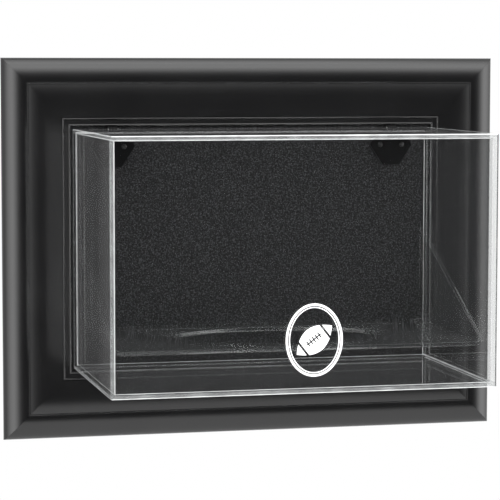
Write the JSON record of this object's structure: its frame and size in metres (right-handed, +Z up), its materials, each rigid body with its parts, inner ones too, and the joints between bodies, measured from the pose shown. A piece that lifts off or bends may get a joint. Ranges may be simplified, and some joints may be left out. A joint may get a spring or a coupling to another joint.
{
  "type": "football display case",
  "caption": "Wall-hung display case for a football: black mitred frame, felt-faced back and a clear acrylic cover with a shelf-like cradle inside that swings up on hinges at its top.",
  "frame": {"origin": "centre of the frame's rear face, on the wall", "axes": "+X to the right seen from the front, +Y into the wall, +Z up; the front faces -Y"},
  "size_m": [0.419, 0.1853, 0.313],
  "materials": {
    "frame_lacquer": "satin black lacquer",
    "felt": "short black felt",
    "hardboard": "plain hardboard",
    "cover_acrylic": "clear polished acrylic",
    "cradle_acrylic": "clear polished acrylic, heat bent",
    "hinge_plastic": "black moulded plastic",
    "pin_steel": "bright",
    "black_screw": "black",
    "zinc_steel": "zinc plated"
  },
  "bodies": {
    "frame": {"frame_rail_top": "frame_lacquer", "frame_rail_right": "frame_lacquer", "frame_rail_bottom": "frame_lacquer", "frame_rail_left": "frame_lacquer", "backboard": "hardboard", "felt_panel": "felt", "retainer_point_1": "zinc_steel", "retainer_point_2": "zinc_steel", "retainer_point_3": "zinc_steel", "retainer_point_4": "zinc_steel", "retainer_point_5": "zinc_steel", "retainer_point_6": "zinc_steel", "retainer_point_7": "zinc_steel", "retainer_point_8": "zinc_steel", "retainer_point_9": "zinc_steel", "retainer_point_10": "zinc_steel", "corner_nail_top_right": "zinc_steel", "corner_nail_top_left": "zinc_steel", "corner_nail_bottom_right": "zinc_steel", "corner_nail_bottom_left": "zinc_steel", "keyhole_hanger_left": "zinc_steel", "keyhole_hanger_right": "zinc_steel", "hanger_screw_left_outer": "zinc_steel", "hanger_screw_left_inner": "zinc_steel", "hanger_screw_right_outer": "zinc_steel", "hanger_screw_right_inner": "zinc_steel", "hinge_left_wall_leaf": "hinge_plastic", "hinge_right_wall_leaf": "hinge_plastic", "hinge_pin_left": "pin_steel", "hinge_pin_right": "pin_steel", "hinge_screw_left_outer": "black_screw", "hinge_screw_left_inner": "black_screw", "hinge_screw_right_outer": "black_screw", "hinge_screw_right_inner": "black_screw"},
    "cover": {"cover_front_panel": "cover_acrylic", "cover_top_panel": "cover_acrylic", "cover_bottom_panel": "cover_acrylic", "cover_left_panel": "cover_acrylic", "cover_right_panel": "cover_acrylic", "football_cradle": "cradle_acrylic", "hinge_left_cover_leaf": "hinge_plastic", "hinge_right_cover_leaf": "hinge_plastic"}
  },
  "joints": [
    {"name": "cover_hinge", "type": "hinge", "parent": "frame", "child": "cover", "pos_m": [0, -0.0103, 0.098], "axis": [-1, 0, 0], "range_deg": [0, 76]}
  ]
}
